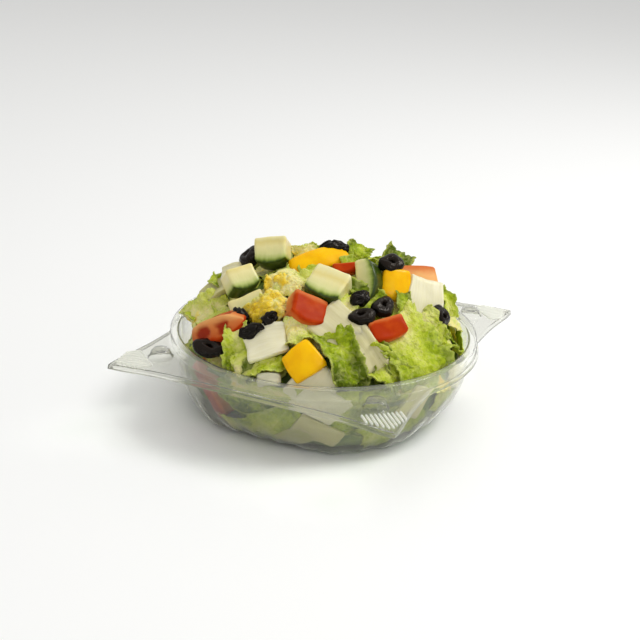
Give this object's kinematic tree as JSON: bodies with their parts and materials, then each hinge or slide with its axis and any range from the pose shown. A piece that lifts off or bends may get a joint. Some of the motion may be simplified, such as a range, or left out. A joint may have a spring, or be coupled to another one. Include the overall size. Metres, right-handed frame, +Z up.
{
  "type": "side salad",
  "caption": "Side salad of chopped romaine heaped in a clear round plastic bowl with corner tabs, topped with cucumber, yellow pepper, tomato and black olive.",
  "frame": {"origin": "on the table under the middle of the bowl", "axes": "+Z up; X and Y along the two pairs of sides of the bowl's flat edge, so the corner tabs lie on the diagonals; the salad's toppings face -Y, turned 24.6 degrees towards +X"},
  "size_m": [0.173, 0.1848, 0.0956],
  "materials": {
    "clear_plastic": "clear, thermoformed, glossy",
    "lettuce": "crisp torn leaf with white ribs, slightly moist",
    "cucumber": "wet pale flesh with dark green skin on one side",
    "pepper": "smooth yellow skin",
    "tomato": "smooth red skin and wet cut flesh",
    "olive": "black, oily sheen"
  },
  "bodies": {
    "root": {"bowl": "clear_plastic", "lettuce_heap": "lettuce", "cucumber_top": "cucumber", "cucumber_middle": "cucumber", "cucumber_left": "cucumber", "cucumber_slice": "cucumber", "cucumber_corner": "cucumber", "cucumber_back": "cucumber", "pepper_front": "pepper", "pepper_right": "pepper", "pepper_strip": "pepper", "pepper_back": "pepper", "tomato_middle": "tomato", "tomato_left": "tomato", "tomato_right": "tomato", "tomato_far_right": "tomato", "tomato_sliver": "tomato", "tomato_back": "tomato", "tomato_low": "tomato", "olive_front": "olive", "olive_pair": "olive", "olive_piece": "olive", "olive_right": "olive", "olive_crest": "olive", "olive_back_left": "olive", "olive_crinkled": "olive", "olive_crinkled_tip": "olive", "olive_left": "olive", "olive_corner": "olive", "olive_far_right": "olive", "olive_behind": "olive", "olive_behind_left": "olive"}
  },
  "joints": []
}
